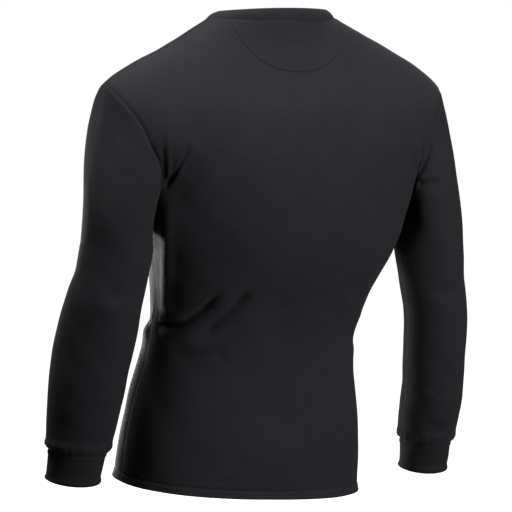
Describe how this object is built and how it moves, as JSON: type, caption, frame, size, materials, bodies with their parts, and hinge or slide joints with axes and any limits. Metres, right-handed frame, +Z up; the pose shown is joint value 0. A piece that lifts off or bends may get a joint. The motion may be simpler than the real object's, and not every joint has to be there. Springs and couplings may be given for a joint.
{
  "type": "base layer top",
  "caption": "Close-fitting long-sleeved jersey top with a round neck and plain cuffs, in its worn shape with no wearer.",
  "frame": {"origin": "midway between the two high points of the shoulders, where the shoulder seams meet the neck", "axes": "+Z up the wearer's body, -Y out of the chest, +X towards the wearer's left arm"},
  "size_m": [0.659, 0.2742, 0.7097],
  "materials": {
    "jersey": "matt fine jersey",
    "rib": "matt fine rib"
  },
  "bodies": {
    "root": {"back": "jersey", "front": "jersey", "left_sleeve": "jersey", "right_sleeve": "jersey", "left_cuff": "rib", "right_cuff": "rib", "collar": "rib", "back_neck_facing": "jersey"}
  },
  "joints": []
}
